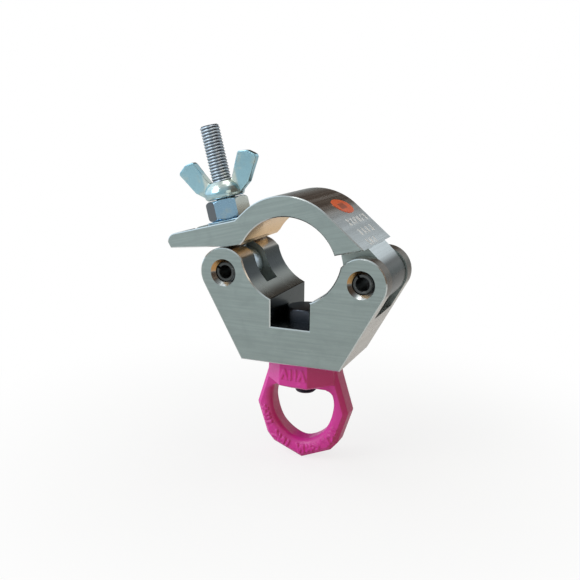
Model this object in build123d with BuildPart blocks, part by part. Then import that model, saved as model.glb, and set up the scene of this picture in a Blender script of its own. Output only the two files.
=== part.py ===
from build123d import *
import os
from math import acos, atan2, cos, radians, sin, sqrt

# Lever-locked tube clamp with a swivelling lifting eye. Millimetres.
# Origin: on the axis of the clamped tube, midway through the clamp. +Y runs along the tube,
# +Z up, -Y is the front. The lever arm lies shut past the tube position, on its stop.

# Driving dimensions -------------------------------------------------------------------------
TUBE_R = 25.5                   # seat for 48 to 51 mm tube
DEPTH = 46.0                    # along the tube
BEVEL = 0.5                     # broken edges of the two aluminium pieces

PIN_X = 35.0                    # both pivot pins, left and right of the tube
PIN_Z = -12.5
EAR_R = 12.3                    # rounded ears around the pins
SLOT_CUTTER_R = 18.0            # the cutter sunk at each pin leaves a clevis slot
BODY_FOOT_Z = -55.1             # underside
BODY_FOOT_HALF = 25.5
CHANNEL_HALF = 10.0             # channel that keeps the eye bolt's head from turning
CHANNEL_Z = -36.9

PIN_R = 5.0                     # spring pins
PIN_WALL = 1.6
PIN_SUNK = 2.5                  # below each face
SINK_R = 6.7                    # countersink around each pin
RUN = 0.05                      # radial running clearance

HINGE_SLOT = 28.6               # right clevis, for the arm's knuckle
KNUCKLE_WIDTH = 28.0
KNUCKLE_R = 11.6
BOLT_SLOT = 12.8                # left clevis, for the swing bolt
BOLT_Y = -2.2                   # its middle
SHUT_ANGLE = 14.2               # arm past the tube position, degrees

LEVER_Z = 28.3                  # flat top of the lever, arm in tube position
LEVER_TIP_X = -59.5
LEVER_TIP_R = 4.5
LEVER_ROOT_X = -20.6            # where the lever leaves the arm
MOUTH_Z = 17.6                  # the arm's left edge on the tube
TIP_FACE_Z = (24.6, 21.6)       # short upright face at the tip
UNDERSIDE = ((-28.0, 16.8), (-20.6, 16.2))
ARM_END_Z = 2.9                 # full-width part stops here, above the hinge
ARM_BACK_R = 31.2               # outside of the arm
ARM_BACK_CENTRE = (0.47, 4.24)
ARM_BACK_STOP_X = -13.5         # the round back runs into the flat lever here
ARM_END_X = 39.8
POCKET_DEPTH = 1.5              # washer seat sunk in the lever
POCKET_RIM = 2.0
POCKET_LIP_X = -50.6

BOLT_R = 5.0                    # M10 swing bolt
BOLT_EYE_R = 9.5
BOLT_EYE_WIDTH = 12.2
BOLT_LENGTH = 71.8              # pin axis to tip
WASHER_R = 12.0
WASHER_THICK = 2.2
COLLAR_FLATS = 19.0             # hexagonal pressure collar under the wing nut
COLLAR_HIGH = 10.4
HUB_R = 10.3                    # wing nut
HUB_HIGH = 8.6
WING_THICK = 3.8
WING_TURN = -3.0                # degrees, where the wing nut came to rest

EYE_BOLT_R = 6.0                # M12, hexagon head
EYE_BOLT_LENGTH = 38.4
HEAD_FLATS = 18.9
HEAD_HIGH = 6.4
THRUST_THICK = 0.9
THRUST_R = 15.5
EYE_TOP_Z = BODY_FOOT_Z - 1.0
EYE_HUB_FLATS = 35.2            # eight-sided hub
EYE_HUB_FOOT_FLATS = 19.0       # where it has tapered into the ring
EYE_SHOULDER_Z = -67.9          # the hub tapers below this
EYE_CEILING_Z = -71.5
EYE_HALF = 6.5                  # half thickness of the ring
BUSH_R = 7.2                    # swivel bush
FLANGE_R = 8.3
FLANGE_Z = -68.2                # top of its flange

FRONT = Plane.XZ.offset(-DEPTH / 2)          # sketches here extrude towards the front
PIN_SIDES = (-PIN_X, PIN_X)


def upright(y):
    """XZ plane at depth y, facing the front."""
    return Plane.XZ.offset(-y)


def swung(angle, x, z, y=0.0):
    """Upright plane turned by an angle (seen from the front) about a line through x, z."""
    a = radians(angle)
    origin = (x - x * cos(a) + z * sin(a), y, z - x * sin(a) - z * cos(a))
    return Plane(origin=origin, x_dir=(cos(a), 0, sin(a)), z_dir=(0, -1, 0))


def on_bolt(height, spin=0.0):
    """Plane square to the swing bolt's axis, a height above its pin."""
    a, t = radians(SHUT_ANGLE), radians(spin)
    axis = Vector(-sin(a), 0, cos(a))
    across = Vector(cos(a), 0, sin(a))
    origin = Vector(-PIN_X, BOLT_Y, PIN_Z) + axis * height
    return Plane(origin=origin, x_dir=across * cos(t) + Vector(0, sin(t), 0), z_dir=axis)


def beside_bolt(height, spin=0.0):
    """Plane through the swing bolt's axis, its y along the axis."""
    square = on_bolt(height, spin)
    return Plane(origin=square.origin, x_dir=square.x_dir, z_dir=square.x_dir.cross(square.z_dir))


def finish(part, name):
    """Name a finished piece and write it."""
    part.label = name
    export_step(part, f"parts/{name}.step")


os.makedirs("parts", exist_ok=True)

# Lower body: a slice of aluminium extrusion ---------------------------------------------------
with BuildPart() as clamp_body:
    with BuildSketch(FRONT):
        for side in PIN_SIDES:
            with BuildSketch(mode=Mode.PRIVATE) as flank:
                with BuildLine():
                    CenterArc((side, PIN_Z), EAR_R, 0, 360)
                    Line((-BODY_FOOT_HALF, BODY_FOOT_Z), (BODY_FOOT_HALF, BODY_FOOT_Z))
                make_hull()
            add(flank.sketch)
        with BuildLine():
            Polyline((-PIN_X, PIN_Z), (PIN_X, PIN_Z), (BODY_FOOT_HALF, BODY_FOOT_Z),
                     (-BODY_FOOT_HALF, BODY_FOOT_Z), close=True)
        make_face()
        Circle(TUBE_R, mode=Mode.SUBTRACT)
        with Locations((0, CHANNEL_Z)):
            Rectangle(2 * CHANNEL_HALF, -CHANNEL_Z, align=(Align.CENTER, Align.MIN), mode=Mode.SUBTRACT)
    extrude(amount=DEPTH)
    rims = clamp_body.faces().filter_by(Axis.Y)
    chamfer(rims.edges(), BEVEL)
    for side, width, middle in ((-PIN_X, BOLT_SLOT, BOLT_Y), (PIN_X, HINGE_SLOT, 0)):
        with BuildSketch(upright(middle)):
            with Locations((side, PIN_Z)):
                Circle(SLOT_CUTTER_R)
        extrude(amount=width / 2, both=True, mode=Mode.SUBTRACT)
        for face in (upright(-DEPTH / 2), upright(DEPTH / 2).rotated((180, 0, 0))):
            with Locations(face):
                with Locations((side, PIN_Z if face.z_dir.Y < 0 else -PIN_Z)):
                    CounterSinkHole(radius=PIN_R, counter_sink_radius=SINK_R, depth=DEPTH)
    with Locations(Plane.XY.offset(BODY_FOOT_Z)):
        Hole(radius=EYE_BOLT_R + 0.3, depth=DEPTH)
finish(clamp_body.part, "clamp_body")

# Upper arm and lever: a second slice of extrusion, slotted for the bolt -------------------------
arm_plane = swung(SHUT_ANGLE, PIN_X, PIN_Z)
arm_front = swung(SHUT_ANGLE, PIN_X, PIN_Z, DEPTH / 2)
bolt_x = PIN_X - 2 * PIN_X * cos(radians(SHUT_ANGLE))       # where the bolt stands along the lever
bolt_foot = 2 * PIN_X * sin(radians(SHUT_ANGLE)) + PIN_Z    # its pin, in the arm's own height
back_x, back_z = ARM_BACK_CENTRE
arm_end = (sqrt(TUBE_R**2 - ARM_END_Z**2), ARM_END_Z)
reach = sqrt((ARM_END_X - back_x) ** 2 + (ARM_END_Z - back_z) ** 2)
tangent = atan2(ARM_END_Z - back_z, ARM_END_X - back_x) + acos(ARM_BACK_R / reach)
back_start = (back_x + ARM_BACK_R * cos(tangent), back_z + ARM_BACK_R * sin(tangent))
back_stop = (ARM_BACK_STOP_X, back_z + sqrt(ARM_BACK_R**2 - (ARM_BACK_STOP_X - back_x) ** 2))
root = (LEVER_ROOT_X, LEVER_Z)
tip_top = (LEVER_TIP_X + LEVER_TIP_R, LEVER_Z)
mouth = (-sqrt(TUBE_R**2 - MOUTH_Z**2), MOUTH_Z)

with BuildPart() as clamp_arm:
    with BuildSketch(arm_front):
        with BuildLine():
            Polyline(arm_end, (ARM_END_X, ARM_END_Z), back_start)
            ThreePointArc(back_start, (back_x, back_z + ARM_BACK_R), back_stop)
            Polyline(back_stop, root, tip_top)
            TangentArc(tip_top, (LEVER_TIP_X, TIP_FACE_Z[0]), tangent=(-1, 0))
            Polyline((LEVER_TIP_X, TIP_FACE_Z[0]), (LEVER_TIP_X + 0.9, TIP_FACE_Z[1]), *UNDERSIDE, mouth)
            ThreePointArc(mouth, (0, TUBE_R), arm_end)
        make_face()
    extrude(amount=DEPTH)
    chamfer(clamp_arm.faces().filter_by(Axis.Y).edges(), BEVEL)
    with BuildSketch(arm_plane):                               # knuckle, narrower than the arm
        with BuildLine():
            CenterArc((PIN_X, PIN_Z), KNUCKLE_R, 0, 360)
            Line((26.0, ARM_END_Z + 1.5), (ARM_END_X - 1.8, ARM_END_Z + 1.5))
        make_hull()
        Circle(TUBE_R, mode=Mode.SUBTRACT)
    extrude(amount=KNUCKLE_WIDTH / 2, both=True)
    with BuildSketch(arm_plane):                               # hinge bore
        with Locations((PIN_X, PIN_Z)):
            Circle(PIN_R + RUN)
    extrude(amount=DEPTH, both=True, mode=Mode.SUBTRACT)
    slot_plane = on_bolt(0)
    with BuildSketch(slot_plane):                              # fork slot, open at the lever's tip
        with Locations((-20, 0)):
            Rectangle(40, BOLT_SLOT)
        Circle(BOLT_SLOT / 2)
    extrude(amount=60, mode=Mode.SUBTRACT)
    with BuildSketch(on_bolt(LEVER_Z - bolt_foot - POCKET_DEPTH)):     # washer seat
        with Locations(((POCKET_LIP_X + root[0]) / 2 - bolt_x, -BOLT_Y)):
            RectangleRounded(root[0] - POCKET_LIP_X, DEPTH - 2 * POCKET_RIM, 3)
    extrude(amount=POCKET_DEPTH, mode=Mode.SUBTRACT)
finish(clamp_arm.part, "clamp_arm")

# Spring pins: rolled steel sleeves with one slit, driven into the ears --------------------------
PIN_LENGTH = DEPTH - 2 * PIN_SUNK
for name, side, slit in (("hinge_pin", PIN_X, 120), ("bolt_pin", -PIN_X, 150)):
    with BuildPart() as spring_pin:
        with BuildSketch(upright(PIN_LENGTH / 2)):
            with Locations((side, PIN_Z)):
                Circle(PIN_R)
                Circle(PIN_R - PIN_WALL, mode=Mode.SUBTRACT)
                with Locations((PIN_R * cos(radians(slit)), PIN_R * sin(radians(slit)))):
                    Rectangle(2 * PIN_R, 1.2, rotation=slit, mode=Mode.SUBTRACT)
        extrude(amount=PIN_LENGTH)
        chamfer(spring_pin.edges().filter_by(GeomType.CIRCLE).group_by(SortBy.RADIUS)[-1], 0.5)
    finish(spring_pin.part, name)

# Swing bolt: an M10 eye bolt that stands in the lever's fork ------------------------------------
with BuildPart() as swing_bolt:
    with BuildSketch(upright(BOLT_Y)):
        with Locations((-PIN_X, PIN_Z)):
            Circle(BOLT_EYE_R)
    extrude(amount=BOLT_EYE_WIDTH / 2, both=True)
    chamfer(swing_bolt.edges(), 0.8)
    with BuildSketch(on_bolt(0)):
        Circle(BOLT_R)
    extrude(amount=BOLT_LENGTH)
    chamfer(swing_bolt.faces().sort_by(Axis.Z)[-1].edges(), 0.9)
    with BuildSketch(upright(BOLT_Y)):
        with Locations((-PIN_X, PIN_Z)):
            Circle(PIN_R + RUN)
    extrude(amount=DEPTH, both=True, mode=Mode.SUBTRACT)
finish(swing_bolt.part, "swing_bolt")

# Washer, hexagonal collar and wing nut, stacked up the bolt -------------------------------------
washer_z = LEVER_Z - bolt_foot - POCKET_DEPTH + 0.05
collar_z = washer_z + WASHER_THICK
nut_z = collar_z + COLLAR_HIGH + 0.3

with BuildPart() as washer:
    with BuildSketch(on_bolt(washer_z)):
        Circle(WASHER_R)
        Circle(BOLT_R + 0.25, mode=Mode.SUBTRACT)
    extrude(amount=WASHER_THICK)
    chamfer(washer.edges().filter_by(GeomType.CIRCLE).group_by(SortBy.RADIUS)[-1], 0.3)
finish(washer.part, "washer")

turned_r = COLLAR_FLATS / 2 - 0.3
bolt_axis = Axis(on_bolt(0).origin, on_bolt(0).z_dir)

with BuildPart() as hex_collar:
    with BuildSketch(on_bolt(collar_z, spin=20)):
        RegularPolygon(COLLAR_FLATS / 2, 6, major_radius=False)
    extrude(amount=COLLAR_HIGH)
    with BuildSketch(on_bolt(collar_z)):
        Circle(BOLT_R + 0.25)
    extrude(amount=COLLAR_HIGH, mode=Mode.SUBTRACT)
    with BuildSketch(beside_bolt(collar_z)):                           # turned corners
        with BuildLine():
            Polyline((0, 0), (turned_r, 0), (turned_r + 3, 1.7), (turned_r + 3, COLLAR_HIGH - 1.7),
                     (turned_r, COLLAR_HIGH), (0, COLLAR_HIGH), close=True)
        make_face()
    revolve(axis=bolt_axis, mode=Mode.INTERSECT)
finish(hex_collar.part, "hex_collar")

WING = ((6.5, 2.0), (10.2, 1.5), (15.6, 5.2), (23.2, 16.4), (18.4, 20.4), (13.4, 21.2), (6.5, 8.4))
with BuildPart() as wing_nut:
    with BuildSketch(beside_bolt(nut_z)):
        with BuildLine():
            Polyline((7.2, HUB_HIGH), (0, HUB_HIGH), (0, 0), (HUB_R - 1.4, 0))
            Spline((HUB_R - 1.4, 0), (HUB_R, 2.4), (HUB_R - 1.3, 5.8), (7.2, HUB_HIGH),
                   tangents=((1, 0.3), (-1, 0.45)))
        make_face()
    revolve(axis=bolt_axis)
    for turn in (WING_TURN, WING_TURN + 180):
        with BuildSketch(beside_bolt(nut_z, spin=turn)):
            with BuildLine():
                Polyline(*WING, close=True)
            make_face()
            fillet([v for v in vertices() if v.Y > 4 and v.X > 9], 1.6)
        extrude(amount=WING_THICK / 2, both=True)
    with BuildSketch(on_bolt(nut_z)):
        Circle(BOLT_R + RUN)
    extrude(amount=HUB_HIGH, mode=Mode.SUBTRACT)
finish(wing_nut.part, "wing_nut")

# Eye bolt: hexagon head in the channel, shank through the body into the swivel bush --------------
with BuildPart() as eye_bolt:
    with BuildSketch(Plane.XY.offset(CHANNEL_Z)):
        RegularPolygon(HEAD_FLATS / 2, 6, major_radius=False, rotation=30)
    extrude(amount=HEAD_HIGH)
    with BuildSketch(Plane.XY.offset(CHANNEL_Z)):
        Circle(EYE_BOLT_R)
    extrude(amount=-EYE_BOLT_LENGTH)
    chamfer(eye_bolt.faces().sort_by(Axis.Z)[0].edges(), 1.4)
    with BuildSketch(Plane.XZ):
        with BuildLine():
            Polyline((0, CHANNEL_Z - EYE_BOLT_LENGTH), (EYE_BOLT_R, CHANNEL_Z - EYE_BOLT_LENGTH),
                     (EYE_BOLT_R, CHANNEL_Z), (HEAD_FLATS / 2 + 2, CHANNEL_Z),
                     (HEAD_FLATS / 2 + 2, CHANNEL_Z + HEAD_HIGH - 1.4),
                     (HEAD_FLATS / 2 - 0.4, CHANNEL_Z + HEAD_HIGH), (0, CHANNEL_Z + HEAD_HIGH), close=True)
        make_face()
    revolve(axis=Axis.Z, mode=Mode.INTERSECT)
finish(eye_bolt.part, "eye_bolt")

with BuildPart() as eye_bush:                    # threaded, flanged at its foot, carries the eye
    with BuildSketch(Plane.XY.offset(EYE_CEILING_Z + 0.3)):
        Circle(FLANGE_R)
    extrude(amount=FLANGE_Z - EYE_CEILING_Z - 0.3)
    chamfer(eye_bush.edges(), 0.5)
    with BuildSketch(Plane.XY.offset(FLANGE_Z)):
        Circle(BUSH_R)
    extrude(amount=BODY_FOOT_Z - THRUST_THICK - FLANGE_Z)
    with BuildSketch(Plane.XY.offset(EYE_CEILING_Z)):
        Circle(EYE_BOLT_R)
    extrude(amount=BODY_FOOT_Z - EYE_CEILING_Z, mode=Mode.SUBTRACT)
finish(eye_bush.part, "eye_bush")

with BuildPart() as thrust_washer:
    with BuildSketch(Plane.XY.offset(BODY_FOOT_Z)):
        Circle(THRUST_R)
        Circle(EYE_BOLT_R + 0.3, mode=Mode.SUBTRACT)
    extrude(amount=-THRUST_THICK)
finish(thrust_washer.part, "thrust_washer")

# Lifting eye: a forged ring with a stout hub ----------------------------------------------------
HALF_OUTLINE = ((17.2, EYE_TOP_Z), (18.9, -64.5), (24.7, -83.0), (19.3, -99.4), (15.6, -103.6), (0, -110.0))
with BuildPart() as lifting_eye:
    with BuildSketch(upright(EYE_HALF)):
        with BuildLine():
            Polyline(*HALF_OUTLINE)
            Polyline(*[(-x, z) for x, z in HALF_OUTLINE])
            Line((-HALF_OUTLINE[0][0], EYE_TOP_Z), (HALF_OUTLINE[0][0], EYE_TOP_Z))
        make_face()
    extrude(amount=2 * EYE_HALF)
    chamfer(lifting_eye.faces().filter_by(Axis.Y).edges().filter_by(
        lambda e: e.center().Z < EYE_TOP_Z - 1), 2.2)
    for low, high, foot, head in ((EYE_SHOULDER_Z, EYE_TOP_Z, EYE_HUB_FLATS, EYE_HUB_FLATS - 0.6),
                                  (EYE_CEILING_Z, EYE_SHOULDER_Z, EYE_HUB_FOOT_FLATS, EYE_HUB_FLATS)):
        for z, flats in ((low, foot), (high, head)):
            with BuildSketch(Plane.XY.offset(z)):
                RegularPolygon(flats / 2, 8, major_radius=False, rotation=22.5)
        loft()
    with BuildSketch(upright(DEPTH / 2)):
        with BuildLine():
            Line((-14.5, EYE_CEILING_Z), (14.5, EYE_CEILING_Z))
            Spline((14.5, EYE_CEILING_Z), (16.6, -80.5), (12.0, -93.5), (0, -100.2),
                   (-12.0, -93.5), (-16.6, -80.5), (-14.5, EYE_CEILING_Z))
        make_face()
        fillet(vertices(), 3.0)
    extrude(amount=DEPTH, mode=Mode.SUBTRACT)
    with BuildSketch(Plane.XY.offset(EYE_TOP_Z)):
        Circle(BUSH_R + RUN)
    extrude(amount=EYE_CEILING_Z - EYE_TOP_Z, mode=Mode.SUBTRACT)
    with BuildSketch(Plane.XY.offset(FLANGE_Z + 0.3)):
        Circle(FLANGE_R + 0.2)
    extrude(amount=EYE_CEILING_Z - FLANGE_Z - 1, mode=Mode.SUBTRACT)
finish(lifting_eye.part, "lifting_eye")

# Rating label: a thin oval that follows the outside of the arm -----------------------------------
LABEL_HALF = (9.3, 4.8)
LABEL_ANGLE = 38.3               # round the arm's back
LABEL_Y = 3.8
LABEL_TILT = -13.5               # stuck on a little askew
LABEL_SKIN = ((0.25, Mode.ADD), (0.03, Mode.SUBTRACT))

with BuildPart() as rating_label:
    with BuildSketch(arm_plane):
        for gap, mode in LABEL_SKIN:
            with BuildSketch(mode=Mode.PRIVATE) as back:
                with BuildLine():
                    CenterArc(ARM_BACK_CENTRE, ARM_BACK_R + gap, 0, 360)
                    CenterArc((ARM_END_X, ARM_END_Z), gap, 0, 360)
                make_hull()
            add(back.sketch, mode=mode)
    extrude(amount=DEPTH / 2, both=True)
    around = radians(LABEL_ANGLE + SHUT_ANGLE)
    outward = Vector(cos(around), 0, sin(around))
    middle = arm_plane.from_local_coords(ARM_BACK_CENTRE) + outward * (ARM_BACK_R - 4) + Vector(0, LABEL_Y, 0)
    with BuildSketch(Plane(origin=middle, x_dir=(0, 1, 0), z_dir=outward)):
        Ellipse(*LABEL_HALF, rotation=LABEL_TILT)
    extrude(amount=DEPTH / 4, mode=Mode.INTERSECT)
finish(rating_label.part, "rating_label")
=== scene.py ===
import random
from math import cos, exp, log, pi, radians, sin, tau

import bmesh
import bpy
import numpy as np
from mathutils import Matrix, Vector


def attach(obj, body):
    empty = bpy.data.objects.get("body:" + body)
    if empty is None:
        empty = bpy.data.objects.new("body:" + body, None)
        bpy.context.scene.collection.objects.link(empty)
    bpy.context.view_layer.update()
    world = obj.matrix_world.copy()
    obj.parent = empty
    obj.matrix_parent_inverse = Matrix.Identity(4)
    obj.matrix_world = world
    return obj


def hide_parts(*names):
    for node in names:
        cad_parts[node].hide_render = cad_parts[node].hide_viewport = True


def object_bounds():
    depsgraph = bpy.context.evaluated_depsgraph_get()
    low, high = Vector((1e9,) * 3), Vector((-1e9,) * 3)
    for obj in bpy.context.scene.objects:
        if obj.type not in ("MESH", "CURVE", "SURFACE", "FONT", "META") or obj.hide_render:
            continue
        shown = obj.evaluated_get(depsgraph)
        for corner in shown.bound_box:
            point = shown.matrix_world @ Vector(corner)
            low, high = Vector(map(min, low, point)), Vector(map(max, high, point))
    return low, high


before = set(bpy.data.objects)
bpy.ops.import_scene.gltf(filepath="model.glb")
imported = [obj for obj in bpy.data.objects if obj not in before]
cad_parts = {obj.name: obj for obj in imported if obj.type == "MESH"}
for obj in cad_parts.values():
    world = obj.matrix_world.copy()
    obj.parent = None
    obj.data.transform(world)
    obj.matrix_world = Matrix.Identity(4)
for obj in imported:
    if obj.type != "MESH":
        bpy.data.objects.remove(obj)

CAD_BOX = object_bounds()
MM = 0.001

# ---- Camera, floor and light ---------------------------------------------------------------
# A soft studio set-up: a pale floor under the hanging eye, a broad cool light on the left, a
# dim warm side on the right and darkness behind, which polished metal needs to look like metal.
CAMERA_AT = Vector((137.91, -360.70, 64.53)) * MM
CAMERA_AZIMUTH, CAMERA_ELEVATION, CAMERA_ROLL = radians(22.175), radians(12.721), radians(0.547)
CAMERA_LENS = 49.206

camera = bpy.data.objects.new("studio_camera", bpy.data.cameras.new("studio_camera"))
camera.data.lens = CAMERA_LENS
camera.data.sensor_width = 36.0
camera.data.clip_start = 0.01
backward = Vector((sin(CAMERA_AZIMUTH) * cos(CAMERA_ELEVATION), -cos(CAMERA_AZIMUTH) * cos(CAMERA_ELEVATION),
                   sin(CAMERA_ELEVATION)))
level = Vector((cos(CAMERA_AZIMUTH), sin(CAMERA_AZIMUTH), 0))
upward = backward.cross(level)
rightward = level * cos(CAMERA_ROLL) + upward * sin(CAMERA_ROLL)
upward = upward * cos(CAMERA_ROLL) - level * sin(CAMERA_ROLL)
camera_turn = Matrix((rightward, upward, backward)).transposed().to_4x4()
camera.matrix_world = Matrix.Translation(CAMERA_AT) @ camera_turn
bpy.context.scene.collection.objects.link(camera)
bpy.context.scene.camera = camera
bpy.context.scene.view_settings.view_transform = "Standard"


def put(tree, kind, inputs=None, **settings):
    """Add a shader node with its settings and its inputs, which are plain values or sockets."""
    node = tree.nodes.new("ShaderNode" + kind)
    for key, value in settings.items():
        setattr(node, key, value)
    for key, value in (inputs or {}).items():
        if isinstance(value, bpy.types.NodeSocket):
            tree.links.new(value, node.inputs[key])
        else:
            node.inputs[key].default_value = value
    return node


def maths(tree, operation, *values):
    """A Math node's result."""
    return put(tree, "Math", dict(enumerate(values)), operation=operation).outputs[0]


def between(tree, value, low, high, start=0.0, end=1.0):
    """A value that eases from start to end while another goes from low to high."""
    return put(tree, "MapRange", {"Value": value, "From Min": low, "From Max": high, "To Min": start,
                                  "To Max": end}, interpolation_type="SMOOTHSTEP").outputs["Result"]


def blend_colour(tree, share, first, second, how="MIX"):
    """Two colours mixed, each an RGB tuple or a socket."""
    mix = put(tree, "Mix", data_type="RGBA", blend_type=how)
    for socket, value in ((mix.inputs[0], share), (mix.inputs[6], first), (mix.inputs[7], second)):
        if isinstance(value, bpy.types.NodeSocket):
            tree.links.new(value, socket)
        else:
            socket.default_value = (*value, 1.0) if isinstance(value, tuple) else value
    return mix.outputs[2]


def split(tree, vector):
    """The x, y and z of a vector socket."""
    return put(tree, "SeparateXYZ", {0: vector}).outputs


def spot_on(tree):
    """Where a point of the object is, in metres in the shared frame."""
    return put(tree, "TexCoord").outputs["Object"]


def product(tree, *shares):
    """Several masks multiplied together."""
    whole = shares[0]
    for share in shares[1:]:
        whole = maths(tree, "MULTIPLY", whole, share)
    return whole


def distance(tree, across, up):
    """How far a point is from a centre that it is across and up from."""
    squares = maths(tree, "ADD", maths(tree, "POWER", across, 2.0), maths(tree, "POWER", up, 2.0))
    return maths(tree, "SQRT", squares)


COOL_SIDE = (0.95, 1.12, 1.25)
FRONT_SIDE = (0.48, 0.55, 0.56)
WARM_SIDE = (0.22, 0.155, 0.115)
DARK_BACK = (0.075, 0.060, 0.050)
BRIGHT_BACK = (0.80, 0.86, 0.88)
OVERHEAD = (0.60, 0.64, 0.66)
WHITE = (1.0, 1.0, 1.0)
world = bpy.data.worlds.new("studio")
world.use_nodes = True
bpy.context.scene.world = world
sky = world.node_tree
sky.nodes.clear()
toward = split(sky, put(sky, "TexCoord").outputs["Generated"])
surround = blend_colour(sky, between(sky, toward[2], 0.55, 0.95), FRONT_SIDE, OVERHEAD)
surround = blend_colour(sky, between(sky, toward[0], -0.25, -0.85), surround, COOL_SIDE)
surround = blend_colour(sky, between(sky, toward[0], 0.30, 0.75), surround, WARM_SIDE)
behind = product(sky, between(sky, toward[1], 0.25, 0.70), between(sky, toward[2], 0.05, 0.20))
back_wall = blend_colour(sky, between(sky, toward[0], 0.02, 0.22), DARK_BACK, BRIGHT_BACK)
surround = blend_colour(sky, behind, surround, back_wall)
seen = put(sky, "LightPath").outputs["Is Camera Ray"]
shown = blend_colour(sky, seen, surround, WHITE)
sky_light = put(sky, "Background", {"Color": shown, "Strength": 1.0})
sky.links.new(sky_light.outputs[0], put(sky, "OutputWorld").inputs["Surface"])

FLOOR_Z = CAD_BOX[0][2]
FLOOR_SIZE = 3.0
FLOOR_FADE = (0.05, 0.24)        # metres out from the eye over which the paper fades to white
FLOOR_WHITE_UNDER = 0.78         # how white it already is right under the eye
bpy.ops.mesh.primitive_circle_add(vertices=96, radius=FLOOR_SIZE, fill_type="NGON", location=(0, 0, FLOOR_Z))
floor = bpy.context.object
floor.name = "studio_floor"
floor_finish = bpy.data.materials.new("studio_floor")
floor_finish.use_nodes = True
tree = floor_finish.node_tree
tree.nodes.clear()
x, y, z = split(tree, spot_on(tree))
away = distance(tree, x, y)
cloudy = put(tree, "TexNoise", {"Scale": 3.0, "Detail": 2.0}).outputs["Fac"]
paper = blend_colour(tree, cloudy, (0.84, 0.80, 0.76), (0.90, 0.86, 0.82))
matt = put(tree, "BsdfDiffuse", {"Color": paper})
glow = put(tree, "Emission", {"Color": (*WHITE, 1.0), "Strength": 1.0})
fade = product(tree, between(tree, away, *FLOOR_FADE, FLOOR_WHITE_UNDER, 1.0),
               put(tree, "LightPath").outputs["Is Camera Ray"])
laid = put(tree, "MixShader", {0: fade, 1: matt.outputs[0], 2: glow.outputs[0]})
tree.links.new(laid.outputs[0], put(tree, "OutputMaterial").inputs["Surface"])
floor.data.materials.append(floor_finish)

for name, place, size, power, colour in (
        ("key_light", (-0.75, -0.85, 0.75), (0.8, 0.8), 6.5, (0.93, 0.98, 1.0)),
        ("fill_light", (0.75, -0.75, 0.35), (0.5, 0.7), 1.2, (1.0, 0.84, 0.70)),
        ("top_light", (0.0, 0.05, 0.95), (0.5, 0.5), 1.3, (1.0, 0.98, 0.95))):
    lamp = bpy.data.objects.new(name, bpy.data.lights.new(name, "AREA"))
    lamp.data.shape, lamp.data.size, lamp.data.size_y = "RECTANGLE", *size
    lamp.data.energy, lamp.data.color = power, colour
    lamp.location = place
    lamp.rotation_euler = (-Vector(place)).to_track_quat("-Z", "Y").to_euler()
    bpy.context.scene.collection.objects.link(lamp)

# ---- Lower body ----------------------------------------------------------------------------
# A 46 mm slice of aluminium extrusion. Its two faces are sawn and then brushed, its flanks and saddle
# keep the long lines of the die, and every sawn edge is broken with a bevel, coloured bright as a painted
# highlight.


def facing(tree):
    """Which way the surface looks: the x, y and z of its normal."""
    return split(tree, put(tree, "TexCoord").outputs["Normal"])


def minus(tree, first, second):
    """One value less another."""
    return maths(tree, "SUBTRACT", first, second)


def aside(tree, value, middle):
    """How far a value is from a middle value, either way."""
    return maths(tree, "ABSOLUTE", minus(tree, value, middle))


def start_group(name, outputs, **inputs):
    """A shared effect: a node group with number inputs and number outputs."""
    tree = bpy.data.node_groups.new(name, "ShaderNodeTree")
    for label, default in inputs.items():
        socket = tree.interface.new_socket(label, in_out="INPUT", socket_type="NodeSocketFloat")
        socket.default_value = default
    for label in outputs:
        tree.interface.new_socket(label, in_out="OUTPUT", socket_type="NodeSocketFloat")
    return tree, tree.nodes.new("NodeGroupInput").outputs, tree.nodes.new("NodeGroupOutput").inputs


def use_group(tree, name, **inputs):
    """Place a shared effect in a material with its own values."""
    node = put(tree, "Group", node_tree=bpy.data.node_groups[name])
    for key, value in inputs.items():
        node.inputs[key].default_value = value
    return node


def noise(tree, vector, scale, detail, **more):
    """Cloudy variation, with its scale in cycles per metre."""
    return put(tree, "TexNoise", {"Vector": vector, "Scale": scale, "Detail": detail, **more}).outputs["Fac"]


def stretch(tree, vector, x, y, z):
    """Scale a vector along each axis; a small number draws a pattern out along that axis."""
    return put(tree, "VectorMath", {0: vector, 1: (x, y, z)}, operation="MULTIPLY").outputs[0]


# the faces, the bevels and everything that came off the die, told apart by which way they look
tree, given, told = start_group("sawn_faces", ("Sawn", "Bevel"))
slope = maths(tree, "ABSOLUTE", facing(tree)[1])
tree.links.new(between(tree, slope, 0.94, 0.985), told["Sawn"])
leaning = product(tree, between(tree, slope, 0.30, 0.55), between(tree, slope, 0.95, 0.85))
tree.links.new(leaning, told["Bevel"])

# fine parallel marks left by the saw and the belt, running across a face at an angle
tree, given, told = start_group("saw_marks", ("Fine", "Broad"), Angle=0.0)
turned = put(tree, "VectorRotate", {"Vector": spot_on(tree), "Angle": given["Angle"]}, rotation_type="Y_AXIS")
for label, scale, squeeze in (("Fine", 5200.0, 0.012), ("Broad", 900.0, 0.03)):
    marks = noise(tree, stretch(tree, turned.outputs[0], squeeze, 0.3, 1.0), scale, 3.0, Roughness=0.6)
    tree.links.new(marks, told[label])

# long lines that the die leaves along an extrusion
tree, given, told = start_group("die_lines", ("Fine", "Broad"))
for label, scale in (("Fine", 2600.0), ("Broad", 330.0)):
    lines = noise(tree, stretch(tree, spot_on(tree), 1.0, 0.006, 1.0), scale, 2.5, Roughness=0.65)
    tree.links.new(lines, told[label])

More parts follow.
